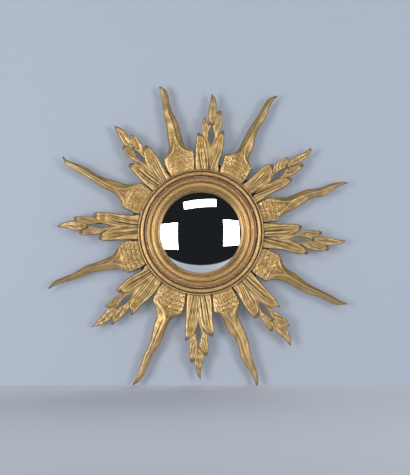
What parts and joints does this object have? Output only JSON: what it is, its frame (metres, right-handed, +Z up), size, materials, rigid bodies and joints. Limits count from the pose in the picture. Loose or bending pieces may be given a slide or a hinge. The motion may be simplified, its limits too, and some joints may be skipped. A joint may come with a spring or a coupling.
{
  "type": "convex sunburst mirror",
  "caption": "Wall mirror with a domed round glass in a turned gilt moulding, set in a sunburst of carved flame and leaf rays.",
  "frame": {"origin": "on the axis of the round glass, in the plane of the wall that the back board's rim bears on", "axes": "+X to the viewer's right, +Z up, and -Y out of the wall towards the viewer, so +Y points into the wall"},
  "size_m": [0.6304, 0.0571, 0.6319],
  "materials": {
    "gilded_moulding": "turned wood, gessoed and gilded, rubbed and aged",
    "gilded_rays": "carved wood, gilded with bronze tone, dark patina in the cuts and on the tips",
    "mirror_glass": "polished convex glass, silvered behind",
    "cork_packing": "pressed cork",
    "millboard": "grey-brown millboard, matt",
    "stained_board": "dark stained softwood",
    "screw_steel": "dulled steel wood screws",
    "brass_screws": "dulled brass",
    "brass_hardware": "stamped brass, tarnished"
  },
  "bodies": {
    "root": {"moulding_ring": "gilded_moulding", "convex_glass": "mirror_glass", "glass_packing": "cork_packing", "back_cover": "millboard", "back_board": "stained_board", "flame_ray_nne": "gilded_rays", "flame_ray_ene": "gilded_rays", "flame_ray_ese": "gilded_rays", "flame_ray_sse": "gilded_rays", "flame_ray_ssw": "gilded_rays", "flame_ray_wsw": "gilded_rays", "flame_ray_wnw": "gilded_rays", "flame_ray_nnw": "gilded_rays", "leaf_ray_n": "gilded_rays", "leaf_ray_ne": "gilded_rays", "leaf_ray_e": "gilded_rays", "leaf_ray_se": "gilded_rays", "leaf_ray_s": "gilded_rays", "leaf_ray_sw": "gilded_rays", "leaf_ray_w": "gilded_rays", "leaf_ray_nw": "gilded_rays", "ray_screws": "screw_steel", "moulding_screws": "screw_steel", "turn_button_screws": "brass_screws", "hanger_screws": "brass_screws", "hanger_strap": "brass_hardware"},
    "hanger_ring": {"hanger_ring": "brass_hardware"},
    "turn_button_1": {"turn_button_1": "brass_hardware"},
    "turn_button_2": {"turn_button_2": "brass_hardware"},
    "turn_button_3": {"turn_button_3": "brass_hardware"},
    "turn_button_4": {"turn_button_4": "brass_hardware"}
  },
  "joints": [
    {"name": "hanger_ring_swing", "type": "hinge", "parent": "root", "child": "hanger_ring", "pos_m": [0, -0.00365, 0.12], "axis": [-1, 0, 0], "range_deg": [0, 183]},
    {"name": "turn_button_1_turn", "type": "hinge", "parent": "root", "child": "turn_button_1", "pos_m": [0.08415, -0.0049, 0.08415], "axis": [0, 1, 0], "continuous": true},
    {"name": "turn_button_2_turn", "type": "hinge", "parent": "root", "child": "turn_button_2", "pos_m": [0.08415, -0.0049, -0.08415], "axis": [0, 1, 0], "continuous": true},
    {"name": "turn_button_3_turn", "type": "hinge", "parent": "root", "child": "turn_button_3", "pos_m": [-0.08415, -0.0049, -0.08415], "axis": [0, 1, 0], "continuous": true},
    {"name": "turn_button_4_turn", "type": "hinge", "parent": "root", "child": "turn_button_4", "pos_m": [-0.08415, -0.0049, 0.08415], "axis": [0, 1, 0], "continuous": true}
  ]
}
